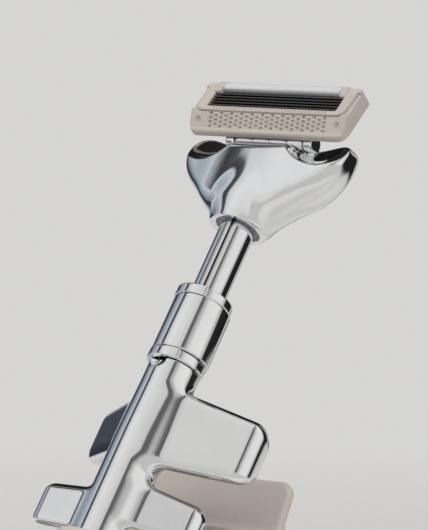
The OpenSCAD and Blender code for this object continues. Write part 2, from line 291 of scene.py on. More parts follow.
# a finger rest: turn about the handle in degrees, level and reach along its own line, half height at
# the root and the tip, thickness, edge rounding, how far the tip is shifted up, and the fillet's size
Rest = namedtuple("Rest", "turn level reach root tip thick edge shift fillet")
RESTS = [
    Rest(turn=-26, level=-35.5, reach=27.0, root=11.3, tip=8.6, thick=10.5, edge=4.0, shift=0.6, fillet=2.6),
    Rest(turn=-148, level=-34.8, reach=23.2, root=9.4, tip=8.2, thick=10.0, edge=4.9, shift=0.4, fillet=1.6),
    Rest(turn=176, level=-58.9, reach=17.4, root=6.5, tip=5.9, thick=9.5, edge=2.8, shift=0.0, fillet=1.4),
    Rest(turn=-32, level=-55.0, reach=21.0, root=7.0, tip=6.2, thick=10.0, edge=3.6, shift=-0.4, fillet=2.2),
]
UNDER_RISE = 0.6
BODY_LOW = RAZOR.box("handle_body")[0][2]
BODY_TOP = RAZOR.box("lower_collar")[0][2]
BODY_R = 6.05
COLLAR_R = 6.45
# the collars' raised half: its radius, and its start and width, measured from +X towards the front
FLANGE_R = 7.05
FLANGE_FROM = math.radians(52)
FLANGE_ARC = math.radians(176)
# the upper collar's gap to the stem, and the radii of the bores over the spigot
UPPER_COLLAR_GAP = 0.35
LOWER_COLLAR_BORE = 5.6
SLEEVE_BORE = 5.65
STEM_R = RAZOR.box("stem")[1][0]
KEY_HALF = 0.5
KEY_DEPTH = 0.7
KEY_TURN = math.radians(18)
# the end of the neck, the neck's radius there and the bores in it for the stem and its bush
NECK_T = RAZOR.box("head")[0][2]
NECK_R = 6.6
BORE_TOP = 27
BUSH_R = 5.3
BUSH_TOP = 23
# the pivot line, its pins, and the hub and the ears on it
HUB_LOW, HUB_HIGH = RAZOR.box("pivot_pins")
PIN_R = (HUB_HIGH[2] - HUB_LOW[2]) / 2
PIN_X = HUB_HIGH[0]
PIVOT_Y, PIVOT_T = (HUB_LOW[1] + HUB_HIGH[1]) / 2, (HUB_LOW[2] + HUB_HIGH[2]) / 2
HUB_R = 2.2
HUB_X = 9.6
HUB_GAP = 0.35
EAR_R = 2.1
# level of the head's top, and half width of its wings
HEAD_TOP = 41.6
WING_X = 21.9


def handle_field(p):
    """The round body, thicker towards its end, with four finger rests."""
    x, y, z = p[..., 0], p[..., 1], p[..., 2]
    radius = BODY_R + 0.35 * ease(-z, 22, 40)
    d = rod(np.hypot(x, y), radius, z, BODY_LOW + 1.6, BODY_TOP - 0.05, 0.5)
    for rest in RESTS:
        a = math.radians(rest.turn)
        out = x * math.cos(a) - y * math.sin(a)
        across = x * math.sin(a) + y * math.cos(a)
        share = np.clip(out / rest.reach, 0, 1)
        height = rest.root + (rest.tip - rest.root) * share
        up = z - rest.level - rest.shift * share
        arm = block(out - rest.reach / 2, across, up, (rest.reach / 2, rest.thick / 2, height), rest.edge)
        # the underside rises to the back; 0.857 turns its height into a distance
        back = across * math.copysign(1, math.cos(a))
        arm = smooth_max(arm, 0.857 * (UNDER_RISE * (back + rest.thick / 2) - height - up), 2.2)
        d = smooth_min(d, arm, rest.fillet)
    # a hollow under the lower collar's raised half
    a = math.radians(100)
    out = x * math.cos(a) - y * math.sin(a)
    around = x * math.sin(a) + y * math.cos(a)
    hollow = np.sqrt(((out - 6.3) / 1.5)**2 + (around / 2.8)**2 + ((z - BODY_TOP + 0.6) / 2.0)**2)
    return smooth_max(d, (1 - hollow) * 1.5, 0.3)


def head_field(p):
    """The neck and two swept wings, with a scoop in each wing and a trough for the carrier."""
    x, y, z = p[..., 0], p[..., 1], p[..., 2]
    wide = np.sqrt(x * x + 0.5)
    # the wings sweep back, stand lower at the front and grow thinner outwards
    sweep = 1.7 * ease(wide, 2, 20)
    front = sweep - y
    # the underside climbs from the neck to the wing tips, steeply at first
    under = 18.6 + 16.4 * (1 - (1 - np.clip((wide - 5.6) / 19.5, 0, 1))**1.55)
    under = under - 0.5 * np.maximum(front, -0.5) * ease(wide, 4, 12)
    under = under - 1.2 * ease(-front, 0, 5) * ease(wide, 10, 16)
    side = wide - WING_X + 0.18 * (y - 2)
    fan = smooth_max((under - z) * 0.84, side, 5.5)
    thick = np.abs(front) - 6.6 + 0.8 * ease(wide, 10, 20)
    # round like the neck at the bottom, with a tighter edge higher up
    d = rounded(fan, thick, 6.6 - 2.4 * ease(z, 20, 31))
    # the neck shrinks inside the head, so that it sinks into the front without a step
    out = np.hypot(x, y)
    neck_r = NECK_R + 0.06 * np.maximum(z - NECK_T, 0) - 3.0 * ease(z, 25, 37)
    neck = np.maximum(out - neck_r, np.maximum(NECK_T - z, z - 37))
    d = smooth_min(d, neck, 2.5)
    top = HEAD_TOP - 0.25 * front + 2.2 * ease(wide, 10, 19)
    d = smooth_max(d, z - top, 1.0 + 2.5 * ease(wide, 13, 18))
    # the top falls steeply to the front edge, and a scoop is taken out of each wing
    d = smooth_max(d, 0.64 * (z - 39.3) - 0.76 * (y + 5.6), 0.7)
    scoop = np.sqrt(((np.abs(x) - 15.6) / 8.6)**2 + ((y + 5.4) / 6.0)**2 + ((z - 42.4) / 7.0)**2)
    d = smooth_max(d, -(scoop - 1) * 5.6, 1.0)
    # trough for the carrier, with an arm from its back wall to each pin
    aside = np.abs(x)
    trough = HUB_X + 3.0
    off_pivot = np.hypot(y - PIVOT_Y, z - PIVOT_T)
    gap = HUB_R + HUB_GAP
    round_cut = np.maximum(off_pivot - gap, aside - trough)
    square_cut = span(p, (-trough, -12, PIVOT_T - 1.9), (trough, PIVOT_Y + 5.4, PIVOT_T + 8), 0.2)
    heel_cut = span(p, (-3.4, PIVOT_Y - 0.8, 38), (3.4, 12, PIVOT_T + 8), 0.3)
    d = smooth_max(d, -np.minimum(np.minimum(round_cut, square_cut), heel_cut), 0.35)
    ear = smooth_max(off_pivot - EAR_R, np.abs(aside - HUB_X - 1.5) - 1.2, 0.4)
    arm = span(np.stack([aside, y, z], -1), (HUB_X + 0.3, PIVOT_Y, PIVOT_T - EAR_R),
               (HUB_X + 2.7, PIVOT_Y + 6.4, PIVOT_T - 0.2), 0.3)
    d = smooth_min(d, np.minimum(ear, arm), 0.5)
    pin_hole = np.maximum(off_pivot - PIN_R - 0.03, aside - PIN_X - 0.15)
    d = smooth_max(d, -pin_hole, 0.1)
    # bores for the stem and its bush
    d = smooth_max(d, NECK_T - z, 0.8)
    stem_bore = np.maximum(out - STEM_R - 0.02, z - BORE_TOP)
    bush_bore = np.maximum(out - BUSH_R, z - BUSH_TOP)
    return smooth_max(d, -np.minimum(stem_bore, bush_bore), 0.5)


def collar_field(p, low, high, hole):
    """A collar whose raised half covers the front left."""
    x, y, z = p[..., 0], p[..., 1], p[..., 2]
    out = np.hypot(x, y)
    d = rod(out, COLLAR_R, z, low, high, 0.45)
    middle = FLANGE_FROM + FLANGE_ARC / 2
    toward_middle = (x * math.cos(middle) - y * math.sin(middle)) / np.maximum(out, 1e-6)
    away = np.arccos(np.clip(toward_middle, -1, 1))
    arc = (away - FLANGE_ARC / 2) * out
    raised = smooth_max(rod(out, FLANGE_R, z, low, high, 0.45), arc, 0.5)
    return smooth_max(np.minimum(d, raised), hole - out, 0.3)


def carrier_field(p):
    """The hub on the pivot line, with the heel that the plunger pushes and the cartridge's tongue."""
    x, y, z = p[..., 0], p[..., 1], p[..., 2]
    # the hub is waisted into segments
    waist = 0.22 * ease(np.cos(2 * math.pi * x / 4.8), 0.55, 0.9)
    hub = smooth_max(np.hypot(y - PIVOT_Y, z - PIVOT_T) - HUB_R + waist, np.abs(x) - HUB_X, 0.4)
    heel = span(p, (-2.6, PIVOT_Y, PIVOT_T - HUB_R), (2.6, PIVOT_Y + 4, PIVOT_T - 0.6), 0.3)
    tongue_top = CART.box("pivot_carrier")[1][2]
    tongue = span(CART.local(RAZOR.world(p)), (-7.4, 5.6, -8.2), (7.4, 7.2, tongue_top), 0.3)
    return smooth_min(np.minimum(hub, heel), tongue, 0.6)


# ---- the cartridge's parts as fields, in its own frame

FACE_X = CART.box("cartridge_frame")[1][0]
FACE_H = CART.box("cartridge_frame")[1][2]
GUARD_LOW = CART.box("guard_pad")[0][2]
BASE_BACK = 4.8
WINDOW_X = CART.box("blade_1")[1][0]
WINDOW_LOW, WINDOW_TOP = -3.1, 2.45
STRIP_X = CART.box("lubricating_strip")[1][0]
# the guard's slope from the face's lower edge to the lip, as (y, z)
SLOPE_TOP = (0.25, -FACE_H)
SLOPE_BOTTOM = (2.95, -8.4)
SLOPE_LENGTH = math.dist(SLOPE_TOP, SLOPE_BOTTOM)
SLOPE_DOWN = [(b - a) / SLOPE_LENGTH for a, b in zip(SLOPE_TOP, SLOPE_BOTTOM)]


def window_field(x, z):
    """The opening for the blades, seen from the front."""
    middle, half = (WINDOW_LOW + WINDOW_TOP) / 2, (WINDOW_TOP - WINDOW_LOW) / 2
    return flat_round(x, z - middle, WINDOW_X, half, 0.4)


def guard_outline(x, z):
    """The guard seen from the front: its slope and the straps that it wraps up each end of the face."""
    strap = smooth_max(FACE_X - 1.3 + 0.5 * ease(z, -6, 2) - np.abs(x), z - 3.0, 0.3)
    outline = flat_round(x, z - (FACE_H + GUARD_LOW) / 2, FACE_X - 0.05, (FACE_H - GUARD_LOW) / 2, 2.6)
    return smooth_max(smooth_min(z + FACE_H + 0.06, strap, 1.8), outline, 0.2)


def frame_field(p):
    """The front frame round the blades, with a comb along its lower edge and the strip's hooks."""
    x, y, z = p[..., 0], p[..., 1], p[..., 2]
    outline = flat_round(x, z + 1.0, FACE_X - 0.1, FACE_H + 1.0, 0.9)
    outline = smooth_max(outline, -FACE_H - z, 0.4)
    # the comb's teeth lean, and fade at both edges and both ends of their row
    pitch = 0.94
    lean = x + (z + 3.85) * math.tan(math.radians(24))
    comb = 0.26 * ease(np.cos(2 * math.pi * lean / pitch), -0.3, 0.7)
    comb = comb * ease(-z, 3.25, 3.5) * (1 - ease(-z, 4.3, 4.5)) * (1 - ease(np.abs(x), 16.2, 16.5))
    front = -y + comb
    d = np.maximum(smooth_max(outline, front, 0.5), y - 1.56)
    d = smooth_max(d, -window_field(x, z), 0.35)
    d = np.maximum(d, -np.maximum(guard_outline(x, z) - 0.22, y - 0.7))
    channel = flat_round(x, z - 5, STRIP_X + 0.05, 5 - WINDOW_TOP + 0.5, 0.2)
    d = smooth_max(d, -channel, 0.3)
    # hooks that hold the strip's ends
    aside = np.stack([np.abs(x), y, z], -1)
    hook = span(aside, (STRIP_X - 1.2, -0.42, 2.9), (STRIP_X + 2.1, 1.4, FACE_H + 0.1), 0.4)
    shank = span(aside, (STRIP_X + 0.4, -0.42, 1.4), (STRIP_X + 2.1, 1.4, 4), 0.4)
    return smooth_min(d, smooth_min(hook, shank, 0.5), 0.3)


def dimples(x, down):
    """Depth of the ovals in the guard: 23 columns of four and three by turns, and one at each end."""
    columns, pitch, row = 23, 1.48, 1.02
    column = np.clip(np.round(x / pitch + (columns - 1) / 2), 0, columns - 1)
    odd = column % 2
    count = 4 - odd
    rows_down = (down - SLOPE_LENGTH / 2 + 0.15) / row + (count - 1) / 2
    line = np.clip(np.round(rows_down), 0, count - 1)
    across = (x - (column - (columns - 1) / 2) * pitch) / 0.60
    along = (rows_down - line) * row / 0.37
    oval = 0.42 * (1 - ease(across**2 + along**2, 0.3, 1.1))
    end_oval = ((np.abs(x) - 19.9) / 0.80)**2 + ((down - SLOPE_LENGTH / 2) / 0.95)**2
    return oval + 0.45 * (1 - ease(end_oval, 0.4, 1.1))


def guard_field(p):
    """The soft guard: a dimpled slope under the blades and a lip below it."""
    x, y, z = p[..., 0], p[..., 1], p[..., 2]
    dy, dz = y - SLOPE_TOP[0], z - SLOPE_TOP[1]
    down = dy * SLOPE_DOWN[0] + dz * SLOPE_DOWN[1]
    # the face bulges a little before the lip
    slope = dy * SLOPE_DOWN[1] - dz * SLOPE_DOWN[0]
    slope = slope + dimples(x, down) * (1 - ease(np.abs(slope), 0.5, 1.5)) - 0.25 * ease(down, 3.9, 4.9)
    front = smooth_max(slope, -0.24 - y, 0.8)
    d = smooth_max(guard_outline(x, z), front, 0.35)
    d = smooth_max(d, GUARD_LOW - z, 1.0)
    return smooth_max(d, y - BASE_BACK + 0.2, 0.5)


def base_field(p):
    """The rear housing, with the boss that takes the carrier's tongue."""
    x, y, z = p[..., 0], p[..., 1], p[..., 2]
    body = flat_round(x, z - (FACE_H - 7.2) / 2, FACE_X - 0.1, (FACE_H + 7.2) / 2, 0.9)
    # it stands behind the frame above and behind the guard below
    front = 1.5 + 1.7 * ease(-z, FACE_H - 0.3, FACE_H)
    d = smooth_max(np.maximum(body, front - y), y - BASE_BACK, 0.6)
    boss = span(p, (-9.2, BASE_BACK - 1, -5), (9.2, 8.3, -1), 0.5)
    d = smooth_min(d, boss, 0.8)
    pocket = np.maximum(window_field(x, z), y - 3.6)
    slot = span(p, (-7.7, 5.3, -30), (7.7, 7.5, -2.1), 0.1)
    pivot = CART.local(RAZOR.world((0, PIVOT_Y, PIVOT_T)))
    hub = np.maximum(np.hypot(y - pivot[1], z - pivot[2]) - HUB_R - HUB_GAP, np.abs(x) - 13)
    return smooth_max(d, -np.minimum(np.minimum(pocket, slot), hub), 0.2)


def strip_field(p):
    """The lubricating strip above the blades."""
    x, y, z = p[..., 0], p[..., 1], p[..., 2]
    section = flat_round(y - 0.5, z - (WINDOW_TOP + FACE_H) / 2, 1.0, (FACE_H - WINDOW_TOP) / 2 + 0.05, 0.75)
    return smooth_max(section, np.abs(x) - STRIP_X + 0.02, 0.3)


# ---- the stand as a field, in the row frame

BASE_LOW, BASE_HIGH = STAND.box("stand_shell")
BASE_BACK_Y = STAND.box("stand_base_pad")[1][1] + 0.6
BASE_TOP = 17.5
TRAY_Z = 10.6
WALL_LEAN = math.radians(29)
# the boss's top is a level on the handle's axis
BOSS_R = 9.6
BOSS_TOP = -65.6
LINER_R = 7.6


def slab(p, inset, corner):
    """The base's outline, inset and seen from above."""
    middle = (BASE_LOW[1] + BASE_BACK_Y) / 2
    half = (BASE_BACK_Y - BASE_LOW[1]) / 2
    return flat_round(p[..., 0], p[..., 1] - middle, BASE_HIGH[0] - inset, half - inset, corner)


def stand_field(p):
    """A base with a tray, a leaning wall, a rib and an angled boss for the handle's end."""
    x, y, z = p[..., 0], p[..., 1], p[..., 2]
    d = smooth_max(smooth_max(slab(p, 0, 12), z - BASE_TOP, 2.4), BASE_LOW[2] - z, 0.8)
    tray = flat_round(x, y + 6, 23, 29, 9)
    crown = 0.5 * (x / 23)**2
    d = smooth_max(d, -np.maximum(tray, TRAY_Z + crown - z), 2.0)
    # leaning wall with rounded upper corners
    foot_y = 26.1 - (BASE_TOP + 0.5 - TRAY_Z) * math.tan(WALL_LEAN)
    ahead = (y - foot_y) * math.cos(WALL_LEAN) - (z - TRAY_Z) * math.sin(WALL_LEAN)
    up = (y - foot_y) * math.sin(WALL_LEAN) + (z - TRAY_Z) * math.cos(WALL_LEAN)
    tall = (BASE_HIGH[2] - TRAY_Z) / math.cos(WALL_LEAN)
    wall = flat_round(x, up, 20, tall, 3.4)
    wall = smooth_max(wall, np.abs(ahead - 1.3) - 1.3, 1.3)
    wall = np.maximum(wall, TRAY_Z - 2 - z)
    d = smooth_min(d, wall, 2.2)
    # crowned rib that the lower rests lean against
    rib = np.sqrt(np.maximum(np.abs(x) - 14, 0)**2 + (y - 15)**2 + np.maximum(z - 17, 0)**2) - 3
    d = smooth_min(d, np.maximum(rib, TRAY_Z - 1 - z), 1.4)
    # angled boss round the handle's end
    q = RAZOR.local(STAND.world(p))
    out = np.hypot(q[..., 0], q[..., 1])
    boss = smooth_max(out - BOSS_R, q[..., 2] - BOSS_TOP, 1.0)
    boss = np.maximum(boss, np.maximum(slab(p, 1, 11), BASE_LOW[2] + 0.5 - z))
    d = smooth_min(d, boss, 1.6)
    return smooth_max(d, -np.maximum(out - LINER_R, BODY_LOW - 0.2 - q[..., 2]), 0.4)


# ---- materials

class Nodes:
    """A node tree, with short calls for the nodes used here."""

    def __init__(self, tree):
        self.tree = tree

    def node(self, kind, inputs=(), **settings):
        made = self.tree.nodes.new(kind)
        for key, value in settings.items():
            setattr(made, key, value)
        for key, value in dict(inputs).items():
            if isinstance(value, bpy.types.NodeSocket):
                self.tree.links.new(value, made.inputs[key])
            else:
                made.inputs[key].default_value = value
        return made

    def place(self, frame_place, stretch=(1, 1, 1)):
        """Position in a local frame, in millimetres, each axis divided by its stretch."""
        seen = self.node("ShaderNodeTexCoord").outputs["Object"]
        turned = self.node("ShaderNodeMapping", {
            "Vector": seen,
            "Location": frame_place.origin,
            "Rotation": frame_place.turn.to_euler(),
            "Scale": [MM * s for s in stretch],
        }, vector_type="TEXTURE")
        return turned.outputs[0]

    def noise(self, where, scale, detail=3.0, roughness=0.5):
        return self.node("ShaderNodeTexNoise", {
            "Vector": where, "Scale": scale, "Detail": detail, "Roughness": roughness,
        }).outputs["Fac"]

    def remap(self, value, low, high, to_low, to_high, how="LINEAR"):
        return self.node("ShaderNodeMapRange", {
            "Value": value, "From Min": low, "From Max": high, "To Min": to_low, "To Max": to_high,
        }, interpolation_type=how).outputs["Result"]

    def smooth(self, value, low, high, to_low=0.0, to_high=1.0):
        return self.remap(value, low, high, to_low, to_high, "SMOOTHSTEP")

    def math(self, operation, a, b=0.0):
        return self.node("ShaderNodeMath", {0: a, 1: b}, operation=operation).outputs[0]

    def length(self, vector):
        return self.node("ShaderNodeVectorMath", {0: vector}, operation="LENGTH").outputs["Value"]

    def along(self, vector, axis):
        """How far a vector reaches along an axis."""
        made = self.node("ShaderNodeVectorMath", {0: vector, 1: axis}, operation="DOT_PRODUCT")
        return made.outputs["Value"]

    def mix(self, share, a, b):
        return self.node("ShaderNodeMix", {"Factor": share, 6: a, 7: b}, data_type="RGBA").outputs[2]


class Shader(Nodes):
    """One material. Fixed values are named as the Principled shader's sockets, with _ for a space."""

    def __init__(self, name, **fixed):
        self.material = bpy.data.materials.new(name)
        self.material.use_nodes = True
        super().__init__(self.material.node_tree)
        self.bsdf = self.tree.nodes["Principled BSDF"]
        for socket, value in fixed.items():
            self.bsdf.inputs[socket.replace("_", " ")].default_value = value

    def set(self, socket, value):
        self.tree.links.new(value, self.bsdf.inputs[socket])

    def bump(self, height, strength, distance):
        normal = self.node("ShaderNodeBump", {
            "Height": height, "Strength": strength, "Distance": distance,
        }).outputs["Normal"]
        self.set("Normal", normal)


def rgb(red, green, blue):
    return (red, green, blue, 1)


def darker(colour, share):
    """A colour with its brightness multiplied by share."""
    return [share * c for c in colour[:3]] + [1]


def plating(s, where, base):
    """Colour and roughness of mirror plating with faint wiping marks."""
    haze = s.noise(where, 0.09, 4, 0.6)
    colour = s.mix(s.remap(haze, 0.3, 0.7, 0, 1), base, darker(base, 0.95))
    return colour, s.remap(haze, 0.35, 0.75, 0.02, 0.06)


def chrome(name, base, place):
    """Mirror plating with hairlines."""
    s = Shader(name, Metallic=1.0)
    where = s.place(place)
    colour, rough = plating(s, where, base)
    s.set("Base Color", colour)
    hairlines = s.noise(s.place(place, (0.12, 0.12, 4)), 1, 2)
    marks = s.remap(hairlines, 0.58, 0.75, 0, 0.03)
    s.set("Roughness", s.math("ADD", rough, marks))
    s.bump(s.noise(where, 0.35, 2), 0.02, 0.0004)
    return s.material


def stem_chrome(base):
    """Plating with painted shade in the keyway and a band of fine setting lines to its left."""
    s = Shader("stem_chrome", Metallic=1.0)
    where = s.place(RAZOR)
    plated, rough = plating(s, where, base)
    parts = s.node("ShaderNodeSeparateXYZ", {0: where}).outputs
    flat = s.node("ShaderNodeCombineXYZ", {"X": parts["X"], "Y": parts["Y"]}).outputs[0]
    out = s.length(flat)
    # painted shade in the keyway: its walls are dark, and its floor is lighter
    mouth = s.remap(out, STEM_R - 0.12, STEM_R - 0.05, 1, 0)
    keyway_shade = s.math("MULTIPLY", mouth, s.remap(out, STEM_R - 0.68, STEM_R - 0.64, 0.35, 1))
    # angles go from +X towards the front
    turn = s.math("ARCTAN2", s.math("MULTIPLY", parts["Y"], -1.0), parts["X"])
    off_band = s.math("ABSOLUTE", s.math("SUBTRACT", turn, math.radians(90)))
    band = s.remap(off_band, math.radians(7.5), math.radians(8.5), 1, 0)
    pitch = 0.5
    wave = s.math("SINE", s.math("MULTIPLY", parts["Z"], 2 * math.pi / pitch))
    lines = s.remap(wave, -0.2, 0.35, 0, 1)
    off_edge = s.math("ABSOLUTE", s.math("SUBTRACT", turn, math.radians(99)))
    edge = s.remap(off_edge, 0.012, 0.02, 0.8, 0)
    hatch = s.math("MAXIMUM", s.math("MULTIPLY", s.math("MULTIPLY", band, lines), 0.4), edge)
    # shade holds the painted keyway shade and the dark setting lines
    shade = s.math("MAXIMUM", keyway_shade, hatch)
    s.set("Base Color", s.mix(shade, plated, rgb(0.02, 0.021, 0.024)))
    s.set("Roughness", s.math("ADD", rough, s.math("MULTIPLY", shade, 0.2)))
    s.bump(s.math("MULTIPLY", band, lines), 0.3, 0.00005)
    return s.material


def steel(name, base, place, grain, rough=0.3):
    """Bare steel with brushing along one axis of its frame."""
    s = Shader(name, Metallic=1.0)
    lines = s.noise(s.place(place, grain), 1, 3)
    s.set("Base Color", s.mix(lines, darker(base, 0.72), base))
    s.set("Roughness", s.remap(lines, 0.3, 0.7, rough - 0.08, rough + 0.12))
    s.bump(lines, 0.12, 0.0001)
    return s.material


def recess(s, where, low, high, half_x):
    """1 where y lies beyond a soft limit and x is within half_x of the middle."""
    parts = s.node("ShaderNodeSeparateXYZ", {0: where}).outputs
    behind = s.remap(parts["Y"], low, high, 0, 1)
    within = s.remap(s.math("ABSOLUTE", parts["X"]), half_x, half_x + 0.3, 1, 0)
    return s.math("MULTIPLY", behind, within)


def moulded(name, base, dark, grain, rough, bump=0.15, back=None):
    """Moulded plastic or rubber: fine grain, slow change of tone and a duller sheen in places."""
    s = Shader(name, Specular_IOR_Level=0.4)
    where = s.place(CART)
    slow = s.noise(where, 0.12, 3, 0.6)
    fine = s.noise(where, grain, 4, 0.6)
    tone = s.math("ADD", s.remap(slow, 0.3, 0.7, 0, 0.7), s.remap(fine, 0.35, 0.65, 0, 0.3))
    colour = s.mix(tone, dark, base)
    if back:
        # the moulding's back is dark plastic, and the pocket for the blades gets painted shade
        dark_back_and_pocket_shade = s.mix(fine, rgb(0.012, 0.012, 0.012), back)
        colour = s.mix(recess(s, where, 1.6, 2.0, 20.6), colour, dark_back_and_pocket_shade)
    s.set("Base Color", colour)
    wear = s.math("ADD", slow, s.math("MULTIPLY", fine, 0.4))
    s.set("Roughness", s.remap(wear, 0.4, 1.0, rough - 0.07, rough + 0.1))
    s.bump(fine, bump, 0.00008)
    return s.material


def strip_material():
    """Pale polymer drawn along the cartridge, a little see-through and damp."""
    s = Shader("strip_polymer", Subsurface_Weight=0.15, Subsurface_Scale=0.0008, Coat_Weight=0.25,
               Coat_Roughness=0.2)
    lines = s.noise(s.place(CART, (14, 1, 0.35)), 1, 4)
    specks = s.noise(s.place(CART), 2.5, 3)
    tone = s.math("ADD", s.math("MULTIPLY", lines, 0.7), s.math("MULTIPLY", specks, 0.3))
    s.set("Base Color", s.mix(s.remap(tone, 0.35, 0.65, 0, 1), rgb(0.54, 0.55, 0.56), rgb(0.66, 0.665, 0.68)))
    s.set("Roughness", s.remap(tone, 0.3, 0.7, 0.3, 0.5))
    s.bump(lines, 0.2, 0.0001)
    return s.material


# stretch of the brushing on steel
ALONG_Z = (0.08, 0.08, 5)
ALONG_X = (6, 0.06, 0.06)
MATERIALS = {
    "polished_chrome": chrome("polished_chrome", rgb(0.86, 0.87, 0.885), RAZOR),
    "stem_chrome": stem_chrome(rgb(0.84, 0.85, 0.87)),
    "small_steel": steel("small_steel", rgb(0.62, 0.63, 0.65), RAZOR, ALONG_X),
    "ballast_steel": steel("ballast_steel", rgb(0.5, 0.5, 0.52), STAND, ALONG_X, 0.4),
    "collet_brass": steel("collet_brass", rgb(0.78, 0.64, 0.38), RAZOR, ALONG_Z),
    "blade_steel": steel("blade_steel", rgb(0.13, 0.125, 0.118), CART, ALONG_X, 0.2),
    # the cartridge's back is dark plastic; the dark in its blade pocket is painted shade
    "cartridge_plastic": moulded("cartridge_plastic", rgb(0.50, 0.457, 0.418), rgb(0.46, 0.42, 0.384),
                                 3.0, 0.42, back=rgb(0.03, 0.029, 0.028)),
    "guard_elastomer": moulded("guard_elastomer", rgb(0.50, 0.458, 0.415), rgb(0.46, 0.42, 0.378), 4.0, 0.55),
    "strip_polymer": strip_material(),
    "stand_resin": moulded("stand_resin", rgb(0.57, 0.52, 0.48), rgb(0.53, 0.48, 0.445), 1.6, 0.45),
    "soft_rubber": moulded("soft_rubber", rgb(0.10, 0.095, 0.09), rgb(0.07, 0.066, 0.062), 3.0, 0.6),
    "dark_rubber": moulded("dark_rubber", rgb(0.03, 0.03, 0.03), rgb(0.02, 0.02, 0.02), 3.0, 0.6),
    "bush_polymer": moulded("bush_polymer", rgb(0.27, 0.28, 0.32), rgb(0.22, 0.23, 0.26), 3.0, 0.35),
}
# CAD nodes that are seen as they are
NODE_SLOTS = {
    "polished_chrome": ["handle_end_cap"],
    "small_steel": ["stand_screws", "guide_key", "stem_end_stop", "head_set_screw", "return_plunger",
                    "plunger_spring", "pivot_pins"],
    "ballast_steel": ["stand_ballast_plate"],
    "collet_brass": ["collet"],
    "blade_steel": ["blade_1", "blade_2", "blade_3", "blade_4", "blade_5"],
    "soft_rubber": ["stand_base_pad", "socket_liner"],
    "dark_rubber": ["o_ring"],
    "bush_polymer": ["neck_bush"],
}


# ---- pieces

def finish_piece(piece, body, slot, *nodes):
    """Give a piece its material, its body and the CAD nodes that it replaces."""
    piece.data.materials.append(MATERIALS[slot])
    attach(piece, body)
    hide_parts(*nodes)
    return piece


def field_piece(name, body, slot, place, field, step, spare=1.0):
    """A detailed piece that stands for the CAD node of the same name."""
    low, high = place.box(name)
    piece = surface(name + "_skin", place, field, low - spare, high + spare, step)
    return finish_piece(piece, body, slot, name)


def collar(name):
    """A collar of the handle: the upper one is bored for the stem, the lower one for the spigot."""
    low, high = RAZOR.box(name)
    hole = STEM_R + UPPER_COLLAR_GAP if name == "upper_collar" else LOWER_COLLAR_BORE
    piece = surface(name + "_skin", RAZOR, lambda p: collar_field(p, low[2], high[2], hole),
                    low - 0.5, high + 0.5, 0.16)
    return finish_piece(piece, "handle", "polished_chrome", name)


def sleeve():
    """The lock sleeve, a turned tube."""
    low, high = RAZOR.box("lock_sleeve")
    hole, rim = SLEEVE_BORE, high[0]
    outline = rounded_outline([(hole, low[2]), (rim, low[2]), (rim, high[2]), (hole, high[2])], 0.35)
    piece = revolve("lock_sleeve_skin", RAZOR, outline)
    return finish_piece(piece, "sleeve", "polished_chrome", "lock_sleeve")


def stem():
    """The stem with its keyway, as one outline drawn along the handle's axis."""
    low, high = RAZOR.box("stem")
    key_floor = STEM_R - KEY_DEPTH
    edge = math.asin(KEY_HALF / STEM_R)
    around = 180
    outline = []
    for i in range(around + 1):
        a = -math.pi / 2 + edge + (2 * math.pi - 2 * edge) * i / around
        outline.append((STEM_R * math.cos(a), STEM_R * math.sin(a)))
    outline += [(-KEY_HALF, -key_floor), (KEY_HALF, -key_floor)]
    cos_turn, sin_turn = math.cos(KEY_TURN), math.sin(KEY_TURN)
    outline = [(x * cos_turn - y * sin_turn, x * sin_turn + y * cos_turn) for x, y in outline]
    levels = [low[2], NECK_T - 0.4, high[2]]
    loops = [np.array([(x, y, z) for x, y in outline]) for z in levels]
    piece = rings("stem_skin", RAZOR, loops, closed=False)
    return finish_piece(piece, "head_and_stem", "stem_chrome", "stem")


def dress_cad_nodes():
    """Give the CAD nodes that stay in view, or inside, a material."""
    for slot_name, nodes in NODE_SLOTS.items():
        for node in nodes:
            mesh = frame["nodes"][node].data
            mesh.materials.clear()
            mesh.materials.append(MATERIALS[slot_name])


dress_cad_nodes()
field_piece("handle_body", "handle", "polished_chrome", RAZOR, handle_field, 0.5)
collar("lower_collar")
collar("upper_collar")
sleeve()
stem()
field_piece("head", "head_and_stem", "polished_chrome", RAZOR, head_field, 0.28, 2.5)
field_piece("pivot_carrier", "carrier", "polished_chrome", RAZOR, carrier_field, 0.25)
field_piece("cartridge_base", "cartridge", "cartridge_plastic", CART, base_field, 0.3)
field_piece("cartridge_frame", "cartridge", "cartridge_plastic", CART, frame_field, 0.15, 0.6)
field_piece("guard_pad", "cartridge", "guard_elastomer", CART, guard_field, 0.15, 0.6)
field_piece("lubricating_strip", "cartridge", "strip_polymer", CART, strip_field, 0.2, 0.5)
field_piece("stand_shell", "stand", "stand_resin", STAND, stand_field, 0.65)


# ---- room, light and camera

# the camera that fits the photograph, round from the front towards +X and above the horizon
VIEW_AZIMUTH = math.radians(37.37)
VIEW_ELEVATION = math.radians(5.607)
VIEW_DISTANCE = 0.9433
LENS = 281.7
PALE = rgb(0.67, 0.665, 0.655)


def direction(azimuth, elevation):
    """A direction from degrees round from +X towards +Y, and above the horizon."""
    a, e = math.radians(azimuth), math.radians(elevation)
    return Vector((math.cos(a) * math.cos(e), math.sin(a) * math.cos(e), math.sin(e)))


TO_CAMERA = direction(math.degrees(VIEW_AZIMUTH) - 90, math.degrees(VIEW_ELEVATION))

